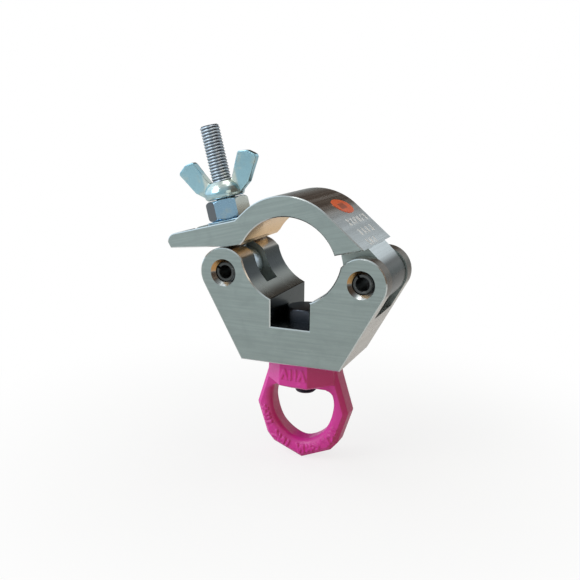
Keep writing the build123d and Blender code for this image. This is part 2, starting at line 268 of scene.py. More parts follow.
# handling: soft smudges all over, and a few stray scratches
tree, given, told = start_group("handling", ("Smudge", "Scratch"), Amount=1.0)
spot = spot_on(tree)
smears = noise(tree, spot, 95.0, 5.0, Roughness=0.6, Distortion=0.6)
tree.links.new(product(tree, smears, given["Amount"]), told["Smudge"])
stray = 0.0
for lean, thin in ((0.35, 0.05), (-0.6, 0.04)):
    leaning = put(tree, "VectorRotate", {"Vector": spot, "Angle": lean}, rotation_type="Y_AXIS").outputs[0]
    cut = noise(tree, stretch(tree, leaning, thin, 0.5, 1.0), 3200.0, 1.0)
    stray = maths(tree, "MAXIMUM", stray, between(tree, cut, 0.755, 0.80))
tree.links.new(product(tree, stray, given["Amount"]), told["Scratch"])


def start_finish(name, metallic, **fixed):
    """A new material with its Principled shader; fixed values go on the shader's own sockets."""
    finish = bpy.data.materials.new(name)
    finish.use_nodes = True
    tree = finish.node_tree
    shader = tree.nodes["Principled BSDF"]
    shader.inputs["Metallic"].default_value = metallic
    for key, value in fixed.items():
        shader.inputs[key.replace("_", " ")].default_value = value
    return finish, tree, shader


def relief(tree, shader, *layers):
    """Stack bump layers, each a height socket, a depth in metres and a strength, on a shader."""
    normal = None
    for height, depth, strength in layers:
        bump = put(tree, "Bump", {"Height": height, "Distance": depth, "Strength": strength})
        if normal:
            tree.links.new(normal, bump.inputs["Normal"])
        normal = bump.outputs["Normal"]
    tree.links.new(normal, shader.inputs["Normal"])


def shade(colour, share):
    """A colour made lighter or darker."""
    return tuple(min(1.0, c * share) for c in colour)


def extrusion_finish(name, lean, sawn, die, bevels, die_light_and_shade):
    """Aluminium extrusion: its sawn faces, its die surfaces, and the painted light and shade on its bevels
    and die surfaces.
    """
    finish, tree, shader = start_finish(name, 1.0)
    side = use_group(tree, "sawn_faces").outputs
    saw = use_group(tree, "saw_marks", Angle=lean).outputs
    drawn = use_group(tree, "die_lines").outputs
    touch = use_group(tree, "handling", Amount=1.0).outputs
    face = blend_colour(tree, between(tree, saw["Broad"], 0.25, 0.75), shade(sawn, 0.90), shade(sawn, 1.08))
    face = blend_colour(tree, between(tree, saw["Fine"], 0.35, 0.65, 0.0, 0.25), face, shade(sawn, 0.72))
    face = blend_colour(tree, between(tree, touch["Smudge"], 0.45, 0.75, 0.0, 0.5), face, shade(sawn, 0.80))
    flank = blend_colour(tree, between(tree, drawn["Broad"], 0.35, 0.65), shade(die, 0.84), die)
    # painted reflection, highlight and shade on the die surfaces
    colour = blend_colour(tree, side["Sawn"], die_light_and_shade(tree, flank), face)
    # painted highlight: the bevels coloured bright
    colour = blend_colour(tree, side["Bevel"], colour, bevels(tree))
    colour = blend_colour(tree, product(tree, touch["Scratch"], 0.2), colour, (0.75, 0.77, 0.77))
    tree.links.new(colour, shader.inputs["Base Color"])
    rough = blend_colour(tree, side["Sawn"], (0.20, 0.20, 0.20), (0.42, 0.42, 0.42))
    rough = maths(tree, "ADD", rough, product(tree, touch["Smudge"], 0.12))
    rough = minus(tree, rough, product(tree, side["Bevel"], 0.10))
    tree.links.new(rough, shader.inputs["Roughness"])
    along = product(tree, drawn["Fine"], minus(tree, 1.0, side["Sawn"]))
    across = product(tree, saw["Fine"], side["Sawn"])
    relief(tree, shader, (across, 0.00006, 0.55), (along, 0.00003, 0.5), (touch["Scratch"], 0.00003, 0.3))
    return finish


SEAT_R = 25.5 * MM
CHANNEL_HALF, CHANNEL_FLOOR = 10.2 * MM, -37.0 * MM
PIN_X, PIN_Z = 35.0 * MM, -12.5 * MM
COUNTERSINK_R = 8.4 * MM
# the third colour is a painted highlight for the bevels
BODY_SAWN, BODY_DIE, BEVEL_HIGHLIGHT = (0.34, 0.395, 0.385), (0.56, 0.51, 0.46), (0.64, 0.68, 0.68)
# painted reflection on the saddle, darkest across its middle
SADDLE_TOP, SADDLE_MIDDLE, SADDLE_FOOT = (0.11, 0.115, 0.11), (0.036, 0.042, 0.045), (0.32, 0.33, 0.31)
# painted shade for the channel and for the round of the right clevis ear
CHANNEL_SHADE, EAR_SHADE = (0.050, 0.060, 0.062), (0.125, 0.10, 0.08)
# countersinks: a plain grey, then a painted warm reflection
SUNK_GREY, SUNK_WARM_REFLECTION = (0.42, 0.46, 0.46), (0.52, 0.29, 0.12)
# a painted highlight and painted shade for the countersinks
SUNK_HIGHLIGHT, SUNK_SHADE = (0.97, 1.0, 1.0), (0.24, 0.24, 0.23)


def body_shading(tree, colour):
    """Painted reflection and shade: the saddle darkened in bands by height, a dark band painted on the right
    clevis ear's round, and the channel painted dark inside.
    """
    x, y, z = split(tree, spot_on(tree))
    seat = between(tree, distance(tree, x, z), SEAT_R + 0.9 * MM, SEAT_R + 0.2 * MM)
    # painted reflection: the saddle's colour by height
    saddle_reflection = blend_colour(tree, between(tree, z, -1 * MM, -10 * MM), SADDLE_TOP, SADDLE_MIDDLE)
    saddle_reflection = blend_colour(tree, between(tree, z, -13 * MM, -20 * MM), saddle_reflection, SADDLE_FOOT)
    colour = blend_colour(tree, seat, colour, saddle_reflection)
    # painted shade on the round of the right clevis ear
    round_pin = maths(tree, "ARCTAN2", minus(tree, z, PIN_Z), minus(tree, x, PIN_X))
    shade_mask = product(tree, between(tree, round_pin, 1.15, 0.75), between(tree, round_pin, -0.52, -0.34),
                     between(tree, x, PIN_X + 1 * MM, PIN_X + 3 * MM))
    colour = blend_colour(tree, shade_mask, colour, EAR_SHADE)
    # painted shade inside the channel
    inside = product(tree, between(tree, maths(tree, "ABSOLUTE", x), CHANNEL_HALF + 0.5 * MM, CHANNEL_HALF),
                     between(tree, z, CHANNEL_FLOOR - 1.5 * MM, CHANNEL_FLOOR - 0.3 * MM))
    return blend_colour(tree, inside, colour, CHANNEL_SHADE)


def plain_bevels(tree):
    """Painted highlight: broken edges coloured bright."""
    return BEVEL_HIGHLIGHT


def body_bevels(tree):
    """Painted highlight on broken edges, and countersinks round the pins with a painted warm reflection up
    left, a painted highlight down right and painted shade down left.
    """
    x, y, z = split(tree, spot_on(tree))
    across = minus(tree, x, product(tree, maths(tree, "SIGN", x), PIN_X))
    up = minus(tree, z, PIN_Z)
    around = maths(tree, "ARCTAN2", up, across)
    # painted warm reflection up left, painted highlight down right, painted shade down left
    sunk = blend_colour(tree, between(tree, aside(tree, around, 2.2), 1.3, 0.7), SUNK_GREY, SUNK_WARM_REFLECTION)
    sunk = blend_colour(tree, between(tree, aside(tree, around, -0.8), 1.2, 0.7), sunk, SUNK_HIGHLIGHT)
    sunk = blend_colour(tree, between(tree, aside(tree, around, -2.7), 0.9, 0.5), sunk, SUNK_SHADE)
    near_pin = between(tree, distance(tree, across, up), COUNTERSINK_R + 0.5 * MM, COUNTERSINK_R)
    return blend_colour(tree, near_pin, plain_bevels(tree), sunk)


body_finish = extrusion_finish("sawn_extrusion", 0.0, BODY_SAWN, BODY_DIE, body_bevels, body_shading)


def refinish(node, finish):
    """Give a carried-over solid its finish."""
    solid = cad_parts[node]
    solid.data.materials.clear()
    solid.data.materials.append(finish)


refinish("clamp_body", body_finish)

# ---- Hinge pin and bolt pin ----------------------------------------------------------------
# Rolled spring-steel sleeves driven in below the countersunk faces, coloured nearly black as painted shade
# for their dark bores.
pin_finish, tree, shader = start_finish("spring_steel_painted_dark", 1.0)
touch = use_group(tree, "handling", Amount=1.2).outputs
rolled = use_group(tree, "die_lines").outputs
steel = blend_colour(tree, touch["Smudge"], (0.035, 0.04, 0.042), (0.12, 0.125, 0.125))
tree.links.new(blend_colour(tree, touch["Scratch"], steel, (0.5, 0.5, 0.5)), shader.inputs["Base Color"])
tree.links.new(between(tree, touch["Smudge"], 0.2, 0.8, 0.25, 0.5), shader.inputs["Roughness"])
relief(tree, shader, (rolled["Fine"], 0.00003, 0.5))
for node in ("hinge_pin", "bolt_pin"):
    refinish(node, pin_finish)

# ---- Arm and lever -------------------------------------------------------------------------
# The second slice of extrusion: its back came off the die polished, with a painted brown reflection and
# highlight on it, its tail end is brighter, and it shuts down past the tube with its knuckle on the pin.
SHUT = radians(14.2)
HINGE = Vector((35.0, 0.0, -12.5)) * MM
ARM_BACK_CENTRE = (0.47, 0.0, 4.24)      # in millimetres, with the arm on a tube
BACK_TURN = Matrix.Translation(HINGE) @ Matrix.Rotation(-SHUT, 4, "Y") @ Matrix.Translation(-HINGE)


def on_arm(x, y, z):
    """A point given in millimetres with the arm on a tube, where it is with the arm shut."""
    return BACK_TURN @ (Vector((x, y, z)) * MM)


back_middle = on_arm(*ARM_BACK_CENTRE)
# the second colour is painted shade on the knuckle
ARM_DIE, KNUCKLE_SHADE = (0.86, 0.92, 0.95), (0.06, 0.06, 0.057)
UNDER_LEVER, UNDER_TAIL = (0.85, 0.55, 0.26), (0.66, 0.63, 0.60)
# painted reflection over the arm's back, and a painted highlight streak
BACK_REFLECTION_DARK, BACK_REFLECTION_LIGHT, BACK_HIGHLIGHT = (0.34, 0.27, 0.22), (0.62, 0.54, 0.47), (0.95, 0.90, 0.85)


def arm_shading(tree, colour):
    """Painted brown reflection over the back, with one painted highlight streak, fading to the bright tail;
    the underside tinted orange towards the lever and pale towards the tail; painted shade on the knuckle.
    """
    x, y, z = split(tree, spot_on(tree))
    east, north = minus(tree, x, back_middle.x), minus(tree, z, back_middle.z)
    around = maths(tree, "ARCTAN2", north, east)
    outside = between(tree, distance(tree, east, north), 28.5 * MM, 30.0 * MM)
    tan_inside = blend_colour(tree, between(tree, around, 1.2, 2.2), UNDER_TAIL, UNDER_LEVER)
    lined = between(tree, use_group(tree, "die_lines").outputs["Broad"], 0.35, 0.65)
    # painted reflection: brown over the back, varied by the die lines
    back_reflection = blend_colour(tree, lined, BACK_REFLECTION_DARK, BACK_REFLECTION_LIGHT)
    # painted highlight: one narrow bright streak across the back
    highlight_streak = product(tree, between(tree, around, 1.13, 1.17), between(tree, around, 1.24, 1.20))
    back_reflection = blend_colour(tree, highlight_streak, back_reflection, BACK_HIGHLIGHT)
    colour = blend_colour(tree, outside, tan_inside, colour)
    # painted shade on the knuckle
    round_pin = maths(tree, "ARCTAN2", minus(tree, z, HINGE.z), minus(tree, x, HINGE.x))
    shade_mask = product(tree, between(tree, round_pin, 1.25, 0.75), between(tree, z, 4.5 * MM, 1.0 * MM))
    colour = blend_colour(tree, shade_mask, colour, KNUCKLE_SHADE)
    return blend_colour(tree, product(tree, outside, between(tree, around, 0.62, 1.02)), colour, back_reflection)


arm_finish = extrusion_finish("arm_painted_reflection_extrusion", SHUT, BODY_SAWN, ARM_DIE, plain_bevels, arm_shading)
refinish("clamp_arm", arm_finish)

# ---- Rating label and the engraved rows under it --------------------------------------------
# A printed oval of film on the arm's back with a plain darker mark, and three rows of plain
# engraved ticks on the tail, cut through to bright metal.
LABEL_AT = (38.3, 3.8)          # degrees round the back, millimetres along the tube
BACK_R = 31.4                   # millimetres from the middle of the arm's back to the film
FILM_DEEP, FILM_PALE = (0.82, 0.085, 0.010), (0.92, 0.17, 0.025)
PRINT_BROWN, PRINT_RED = (0.28, 0.05, 0.01), (0.62, 0.08, 0.03)
label_finish, tree, shader = start_finish("printed_film", 0.0, Coat_Weight=0.35, Coat_Roughness=0.2)
x, y, z = split(tree, spot_on(tree))
around = maths(tree, "ARCTAN2", minus(tree, z, back_middle.z), minus(tree, x, back_middle.x))
up_label = product(tree, minus(tree, around, radians(LABEL_AT[0]) + SHUT), BACK_R)
along_label = product(tree, minus(tree, y, LABEL_AT[1] * MM), 1 / MM)
grain = noise(tree, spot_on(tree), 700.0, 4.0)
film = blend_colour(tree, grain, FILM_DEEP, FILM_PALE)
stem = product(tree, between(tree, aside(tree, along_label, -1.0), 4.6, 3.4),
               between(tree, maths(tree, "ABSOLUTE", up_label), 2.3, 1.4))
film = blend_colour(tree, product(tree, stem, 0.8), film, PRINT_BROWN)
leaning = maths(tree, "ADD", along_label, product(tree, up_label, -0.8))
bar = between(tree, aside(tree, leaning, 4.6), 0.7, 0.4)
film = blend_colour(tree, product(tree, bar, 0.6), film, PRINT_RED)
tree.links.new(film, shader.inputs["Base Color"])
tree.links.new(between(tree, grain, 0.3, 0.7, 0.3, 0.5), shader.inputs["Roughness"])
relief(tree, shader, (grain, 0.00002, 0.3))
refinish("rating_label", label_finish)


def finish_piece(name, shape, body, slot, finish, *stands_for, crease=30):
    """Turn a bmesh into a piece that rides on a body and stands for CAD solids."""
    mesh = bpy.data.meshes.new(name)
    bmesh.ops.recalc_face_normals(shape, faces=shape.faces)
    shape.to_mesh(mesh)
    shape.free()
    for face in mesh.polygons:
        face.use_smooth = True
    mesh.set_sharp_from_angle(angle=radians(crease))
    mesh.materials.append(finish)
    thing = bpy.data.objects.new(name, mesh)
    bpy.context.scene.collection.objects.link(thing)
    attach(thing, body)
    if stands_for:
        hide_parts(*stands_for)
    return thing


# how far up the tail each row is, its first and last tick along the tube, and how many
ROWS = ((15.9, -8.0, 16.5, 6), (9.0, -6.0, 11.0, 4), (2.8, -8.5, 1.0, 3))
TAIL_START, TAIL_END = Vector((25.84, 22.40)), Vector((39.8, 2.9))
TICK_HIGH, TICK_ACROSS, TICK_WIDE, TICK_SUNK, TICK_PROUD = 1.9, 1.2, 0.36, 0.15, 0.05
SLANTS = ((-1, -1, -1, 1), (-1, 1, 1, -1), (1, -1, 1, 1), (-1, -1, 1, 1), (0, -1, 0, 1))
up_tail = (TAIL_START - TAIL_END).normalized()
tail_out = Vector((up_tail.y, -up_tail.x))


def bar_between(shape, start, end):
    """A thin bar let into the tail, from one (along, up) point of it to another."""
    run = (end - start).normalized()
    wide = Vector((-run.y, run.x)) * TICK_WIDE
    low, high = [], []
    for along, up in (start - wide, start + wide, end + wide, end - wide):
        foot = TAIL_END + up_tail * up
        for ring, rise in ((low, -TICK_SUNK), (high, TICK_PROUD)):
            place = foot + tail_out * rise
            ring.append(shape.verts.new(on_arm(place.x, along, place.y)))
    shape.faces.new(high)
    shape.faces.new(low[::-1])
    for k in range(4):
        shape.faces.new((low[k], low[(k + 1) % 4], high[(k + 1) % 4], high[k]))


random.seed(11)
ticks = bmesh.new()
for height, first, last, count in ROWS:
    for step in range(count):
        middle = first + (last - first) * step / (count - 1)
        for y0, up0, y1, up1 in random.sample(SLANTS, random.choice((2, 3))):
            bar_between(ticks, Vector((middle + y0 * TICK_ACROSS, height + up0 * TICK_HIGH)),
                        Vector((middle + y1 * TICK_ACROSS, height + up1 * TICK_HIGH)))
engraved_finish, tree, shader = start_finish("engraved_bright", 0.25)
touch = use_group(tree, "handling", Amount=1.0).outputs
cut_metal = blend_colour(tree, touch["Smudge"], (0.95, 0.94, 0.92), (0.70, 0.69, 0.67))
tree.links.new(cut_metal, shader.inputs["Base Color"])
tree.links.new(between(tree, touch["Smudge"], 0.2, 0.8, 0.5, 0.7), shader.inputs["Roughness"])
relief(tree, shader, (touch["Smudge"], 0.00003, 0.4))
finish_piece("engraved_rows", ticks, "arm", "arm_aluminium", engraved_finish)

# ---- Swing bolt ----------------------------------------------------------------------------
# An M10 eye bolt, cold formed, rolled thread along the whole shank, bright zinc plate. Its eye
# turns on the left pin and its shank stands in the lever's fork.
BOLT_FOOT = Vector((-35.0, -2.2, -12.5)) * MM
BOLT_LENGTH, BOLT_R, BOLT_PITCH, BOLT_THREAD_DEPTH = 71.8, 5.0, 1.5, 0.55
BOLT_EYE_R, BOLT_EYE_HALF, PIN_BORE_R = 9.5, 6.1, 5.05
ON_BOLT = Matrix.Translation(BOLT_FOOT) @ Matrix.Rotation(-SHUT, 4, "Y") @ Matrix.Scale(MM, 4)
THREAD_ROWS, ROUND = 8, 56           # rings in one turn of a thread, points round a ring
CREST_SHARE, FLANK_SHARE = 0.12, 0.74
END_STEP = 0.4                       # how much a threaded end is turned down below the root


def add_rings(shape, rings, placed, closed=False):
    """Skin a stack of equal rings of points; an open stack gets a flat cap at each end."""
    rows = [[shape.verts.new(placed @ Vector(point)) for point in ring] for ring in rings]
    pairs = list(zip(rows, rows[1:])) + ([(rows[-1], rows[0])] if closed else [])
    for low, high in pairs:
        for k in range(len(low)):
            n = (k + 1) % len(low)
            shape.faces.new((low[k], low[n], high[n], high[k]))
    if not closed:
        shape.faces.new(rows[0][::-1])
        shape.faces.new(rows[-1])


def round_point(radius, k, z):
    """One of the ROUND points of a ring."""
    return radius * cos(tau * k / ROUND), radius * sin(tau * k / ROUND), z


def turned_ring(shape, profile, placed, closed=True):
    """Turn a profile of (radius, height) points about the local z axis."""
    add_rings(shape, [[round_point(r, k, z) for k in range(ROUND)] for r, z in profile], placed, closed)


def threaded_shank(shape, radius, pitch, depth, low, high, placed):
    """A rod with a real right-hand thread, chamfered at both ends."""
    root = radius - depth
    start = int((low / pitch - 2) * THREAD_ROWS)
    stop = int((high / pitch + 1) * THREAD_ROWS)
    rows = []
    for i in range(start, stop + 1):
        phase = abs((i % THREAD_ROWS) / THREAD_ROWS - 0.5) * 2
        crest = radius - depth * min(1, max(0, (phase - CREST_SHARE) / FLANK_SHARE))
        row = []
        for k in range(ROUND):
            z = min(max(pitch * (i / THREAD_ROWS + k / ROUND), low), high)
            r = min(crest, root - END_STEP + min(z - low, high - z))
            row.append(shape.verts.new(placed @ Vector(round_point(r, k, z))))
        rows.append(row)
    for i in range(len(rows) - 1):
        for k in range(ROUND - 1):
            shape.faces.new((rows[i][k], rows[i][k + 1], rows[i + 1][k + 1], rows[i + 1][k]))
        turn_on = i + THREAD_ROWS
        if turn_on + 1 < len(rows):
            shape.faces.new((rows[i][-1], rows[turn_on][0], rows[turn_on + 1][0], rows[i + 1][-1]))
    bmesh.ops.remove_doubles(shape, verts=shape.verts, dist=2e-6)
    bmesh.ops.dissolve_degenerate(shape, edges=shape.edges, dist=1e-6)
    loose = [v for v in shape.verts if not v.link_faces]
    bmesh.ops.delete(shape, geom=loose, context="VERTS")
    bmesh.ops.holes_fill(shape, edges=[e for e in shape.edges if e.is_boundary], sides=0)


bolt = bmesh.new()
threaded_shank(bolt, BOLT_R, BOLT_PITCH, BOLT_THREAD_DEPTH, 7.0, BOLT_LENGTH, ON_BOLT)
ON_PIN = Matrix.Translation(BOLT_FOOT) @ Matrix.Rotation(pi / 2, 4, "X") @ Matrix.Scale(MM, 4)
turned_ring(bolt, [(PIN_BORE_R, -BOLT_EYE_HALF + 0.2), (PIN_BORE_R + 0.3, -BOLT_EYE_HALF),
                   (BOLT_EYE_R - 1.2, -BOLT_EYE_HALF), (BOLT_EYE_R - 0.45, -BOLT_EYE_HALF + 0.3),
                   (BOLT_EYE_R - 0.1, -BOLT_EYE_HALF + 0.9), (BOLT_EYE_R, -BOLT_EYE_HALF + 1.6),
                   (BOLT_EYE_R, BOLT_EYE_HALF - 1.6), (BOLT_EYE_R - 0.1, BOLT_EYE_HALF - 0.9),
                   (BOLT_EYE_R - 0.45, BOLT_EYE_HALF - 0.3), (BOLT_EYE_R - 1.2, BOLT_EYE_HALF),
                   (PIN_BORE_R + 0.3, BOLT_EYE_HALF), (PIN_BORE_R, BOLT_EYE_HALF - 0.2)], ON_PIN)


def off_axis(tree):
    """How far a point is from the swing bolt's axis."""
    from_foot = put(tree, "VectorMath", {0: spot_on(tree), 1: BOLT_FOOT}, operation="SUBTRACT").outputs[0]
    axis = ON_BOLT.to_3x3() @ Vector((0, 0, 1 / MM))
    across = put(tree, "VectorMath", {0: from_foot, 1: axis}, operation="CROSS_PRODUCT").outputs[0]
    return put(tree, "VectorMath", {0: across}, operation="LENGTH").outputs["Value"]


PLATE_YELLOW, PLATE_BARE = (0.74, 0.68, 0.50), (0.9, 0.92, 0.95)


def evenly(tree, plate):
    """Plate with no more shading of its own."""
    return plate


def zinc_finish(name, bright, dull, rough, stain=evenly):
    """Bright zinc plate: blue-white, faintly cloudy, with yellow tints where it is thick."""
    finish, tree, shader = start_finish(name, 1.0)
    touch = use_group(tree, "handling", Amount=1.0).outputs
    tint, speck = noise(tree, spot_on(tree), 160.0, 2.0), noise(tree, spot_on(tree), 2400.0, 3.0)
    plate = blend_colour(tree, touch["Smudge"], bright, dull)
    plate = blend_colour(tree, between(tree, tint, 0.52, 0.72, 0.0, 0.35), plate, PLATE_YELLOW)
    plate = blend_colour(tree, product(tree, touch["Scratch"], 0.4), plate, PLATE_BARE)
    tree.links.new(stain(tree, plate), shader.inputs["Base Color"])
    cloud = maths(tree, "ADD", product(tree, speck, 0.5), product(tree, touch["Smudge"], 0.5))
    tree.links.new(between(tree, cloud, 0.3, 0.7, rough * 0.75, rough * 1.4), shader.inputs["Roughness"])
    relief(tree, shader, (speck, 0.00002, 0.25), (touch["Scratch"], 0.00002, 0.3))
    return finish


# painted shade in the thread roots
ROOT_SHADE = (0.10, 0.11, 0.13)


def shaded_roots(tree, plate):
    """Painted shade: the roots of the rolled thread coloured dark."""
    root = BOLT_R - BOLT_THREAD_DEPTH
    out_of_root = between(tree, off_axis(tree), (root + 0.05) * MM, (BOLT_R - 0.15) * MM)
    return blend_colour(tree, out_of_root, ROOT_SHADE, plate)


bolt_finish = zinc_finish("rolled_zinc", (0.66, 0.76, 0.84), (0.44, 0.50, 0.57), 0.26, shaded_roots)
finish_piece("swing_bolt_threaded", bolt, "bolt", "zinc", bolt_finish, "swing_bolt", crease=80)

# ---- Washer and hexagonal collar -----------------------------------------------------------
# A pressed washer lies in the lever's seat. On it stands a long hexagon collar, bar stock with
# both ends turned, free on the thread; the wing nut pushes it down.
nut_finish = zinc_finish("plated_zinc", (0.42, 0.62, 0.76), (0.32, 0.48, 0.60), 0.22)
refinish("washer", nut_finish)


# painted shade and a painted warm reflection for the collar's flats
FLAT_SHADE, FLAT_WARM_REFLECTION = (0.09, 0.115, 0.14), (0.62, 0.60, 0.50)


def lit_and_shaded_flats(tree, plate):
    """Painted shade on the collar's flats towards the lever's tip, and a painted warm reflection on those
    towards the arm.
    """
    sideways = facing(tree)[0]
    plate = blend_colour(tree, between(tree, sideways, -0.42, -0.56), plate, FLAT_SHADE)
    return blend_colour(tree, between(tree, sideways, 0.55, 0.80, 0.0, 0.8), plate, FLAT_WARM_REFLECTION)


collar_finish = zinc_finish("plated_bar", (0.42, 0.62, 0.80), (0.32, 0.48, 0.62), 0.22, lit_and_shaded_flats)
HEX_STOPS = (0, 1.0, 2.4, 5, 9, 15, 22, 30, 38, 45, 51, 55, 57.6, 59)      # degrees, closest at a corner
CORNER_SHARPNESS = 9.0


def soft_least(first, second, sharpness):
    """The smaller of two lengths, with the corner between them rounded over."""
    least = min(first, second)
    return least - log(exp(-(first - least) * sharpness) + exp(-(second - least) * sharpness)) / sharpness


def hexagon_ring(flats, limit, z, spin):
    """One ring round a hexagon bar whose corners stop at a limiting radius."""
    ring = []
    for side in range(6):
        for stop in HEX_STOPS:
            r = soft_least(flats / 2 / cos(radians(stop - 30)), limit, CORNER_SHARPNESS)
            turn = radians(side * 60 + stop + spin)
            ring.append((r * cos(turn), r * sin(turn), z))
    return ring


COLLAR_Z, COLLAR_HIGH, COLLAR_FLATS, COLLAR_SPIN, COLLAR_BORE_R = 24.38, 10.4, 19.0, 20.0, 5.25
TURNED_EDGE = COLLAR_FLATS / 2 - 0.3


def bore_ring(z):
    """One ring of the collar's plain bore, with as many points as a hexagon ring."""
    turns = [radians(side * 60 + stop + COLLAR_SPIN) for side in range(6) for stop in HEX_STOPS]
    return [(COLLAR_BORE_R * cos(turn), COLLAR_BORE_R * sin(turn), z) for turn in turns]


collar = bmesh.new()
turned_end = [(TURNED_EDGE - 0.3, 0.0), (TURNED_EDGE, 0.08), (TURNED_EDGE + 0.5, 0.36),
              (TURNED_EDGE + 1.0, 0.65), (TURNED_EDGE + 1.4, 0.95), (TURNED_EDGE + 1.9, 1.5),
              (TURNED_EDGE + 2.2, 2.6)]
outside = turned_end + [(limit, COLLAR_HIGH - z) for limit, z in reversed(turned_end)]
rings = [hexagon_ring(COLLAR_FLATS, limit, z, COLLAR_SPIN) for limit, z in outside]
add_rings(collar, [bore_ring(0.0)] + rings + [bore_ring(COLLAR_HIGH)],
          ON_BOLT @ Matrix.Translation((0, 0, COLLAR_Z)), closed=True)
finish_piece("hex_collar_turned", collar, "collar", "zinc", collar_finish, "hex_collar", crease=24)

# ---- Wing nut ------------------------------------------------------------------------------
# Hot-forged steel, zinc plated: a round, bulging hub with two flat wings blended into it.
NUT_Z, HUB_HIGH, HUB_R, WING_HALF, WING_TURN = 35.08, 8.6, 10.3, 1.9, -3.0
NUT_BORE_R, NUT_VOXEL, NUT_PASSES = 5.05, 0.24 * MM, 7
WING = ((6.0, 2.2), (10.2, 1.6), (15.6, 5.3), (22.75, 16.2), (22.35, 17.6), (18.8, 20.2), (17.6, 20.6),
        (14.0, 21.1), (13.0, 20.5), (6.0, 7.6))
ON_NUT = ON_BOLT @ Matrix.Translation((0, 0, NUT_Z))
nut = bmesh.new()
turned_ring(nut, [(NUT_BORE_R, 0.0), (HUB_R - 1.4, 0.0), (HUB_R - 0.5, 0.6), (HUB_R, 2.0), (HUB_R - 0.1, 3.4),
                  (HUB_R - 0.7, 5.2), (HUB_R - 1.7, 6.8), (HUB_R - 2.9, HUB_HIGH - 0.6),
                  (7.0, HUB_HIGH - 0.15), (6.3, HUB_HIGH), (NUT_BORE_R, HUB_HIGH - 0.3)], ON_NUT)
for turn in (WING_TURN, WING_TURN + 180):
    swing = ON_NUT @ Matrix.Rotation(radians(turn), 4, "Z")
    sides = [[nut.verts.new(swing @ Vector((x, y, z))) for x, z in WING] for y in (-WING_HALF, WING_HALF)]
    nut.faces.new(sides[0][::-1])
    nut.faces.new(sides[1])
    for k in range(len(WING)):
        n = (k + 1) % len(WING)
        nut.faces.new((sides[0][k], sides[0][n], sides[1][n], sides[1][k]))


def forge(thing, voxel, passes):
    """Fuse a piece's lumps into one skin and relax it, as forging rounds its corners."""
    skin = thing.modifiers.new("fuse", "REMESH")
    skin.mode, skin.voxel_size, skin.use_smooth_shade = "VOXEL", voxel, True
    relax = thing.modifiers.new("relax", "SMOOTH")
    relax.factor, relax.iterations = 0.5, passes
    bpy.context.view_layer.update()
    fused = bpy.data.meshes.new_from_object(thing.evaluated_get(bpy.context.evaluated_depsgraph_get()))
    thing.modifiers.clear()
    finish = thing.data.materials[0]
    thing.data = fused
    fused.materials.clear()
    fused.materials.append(finish)
    for face in fused.polygons:
        face.use_smooth = True


# painted highlight on the wing nut's hub
HUB_HIGHLIGHT = (0.74, 0.76, 0.66)


def highlighted_hub(tree, plate):
    """Painted highlight: the hub coloured a pale yellowish white, more than the wings."""
    hub = between(tree, off_axis(tree), (HUB_R + 0.4) * MM, (HUB_R - 1.5) * MM, 0.0, 0.75)
    return blend_colour(tree, hub, plate, HUB_HIGHLIGHT)


wing_finish = zinc_finish("forged_zinc", (0.39, 0.63, 0.72), (0.30, 0.49, 0.57), 0.19, highlighted_hub)
wing_piece = finish_piece("wing_nut_forged", nut, "nut", "zinc", wing_finish, "wing_nut")
forge(wing_piece, NUT_VOXEL, NUT_PASSES)

# ---- Eye bolt ------------------------------------------------------------------------------
# An M12 hexagon-head bolt with a black oxide finish, held by the body's channel so it can't
# turn; its threaded end just shows under the hub of the lifting eye.
HEAD_FLATS, HEAD_HIGH, HEAD_Z, SHANK_R, SHANK_LENGTH = 18.9, 6.4, -36.9, 6.0, 38.4
SHANK_PITCH, SHANK_THREAD_DEPTH = 1.75, 1.07
eye_bolt = bmesh.new()
IN_PLACE = Matrix.Translation((0, 0, HEAD_Z * MM)) @ Matrix.Scale(MM, 4)
threaded_shank(eye_bolt, SHANK_R, SHANK_PITCH, SHANK_THREAD_DEPTH, -SHANK_LENGTH, -SHANK_LENGTH / 3, IN_PLACE)
plain_shank = [(SHANK_R - 0.05, -SHANK_LENGTH / 3 - 1), (SHANK_R - 0.05, 0.2)]
turned_ring(eye_bolt, plain_shank, IN_PLACE, closed=False)
head_edge = HEAD_FLATS / 2 - 0.5
head_rings = [(head_edge + 1.9, 0.0), (head_edge + 1.9, HEAD_HIGH - 2.2), (head_edge + 1.5, HEAD_HIGH - 1.3),
              (head_edge + 0.9, HEAD_HIGH - 0.75), (head_edge + 0.4, HEAD_HIGH - 0.35),
              (head_edge, HEAD_HIGH - 0.06), (head_edge - 0.5, HEAD_HIGH)]
add_rings(eye_bolt, [hexagon_ring(HEAD_FLATS, limit, z, 0.0) for limit, z in head_rings], IN_PLACE)
oxide_finish, tree, shader = start_finish("black_oxide", 1.0)
touch = use_group(tree, "handling", Amount=1.0).outputs
oxide = blend_colour(tree, touch["Smudge"], (0.035, 0.04, 0.055), (0.11, 0.12, 0.14))
tree.links.new(blend_colour(tree, touch["Scratch"], oxide, (0.3, 0.3, 0.32)), shader.inputs["Base Color"])
tree.links.new(between(tree, touch["Smudge"], 0.2, 0.8, 0.28, 0.5), shader.inputs["Roughness"])
relief(tree, shader, (touch["Smudge"], 0.0001, 0.3))
finish_piece("eye_bolt_threaded", eye_bolt, "lower_body", "eye_bolt_steel", oxide_finish, "eye_bolt",
             crease=24)

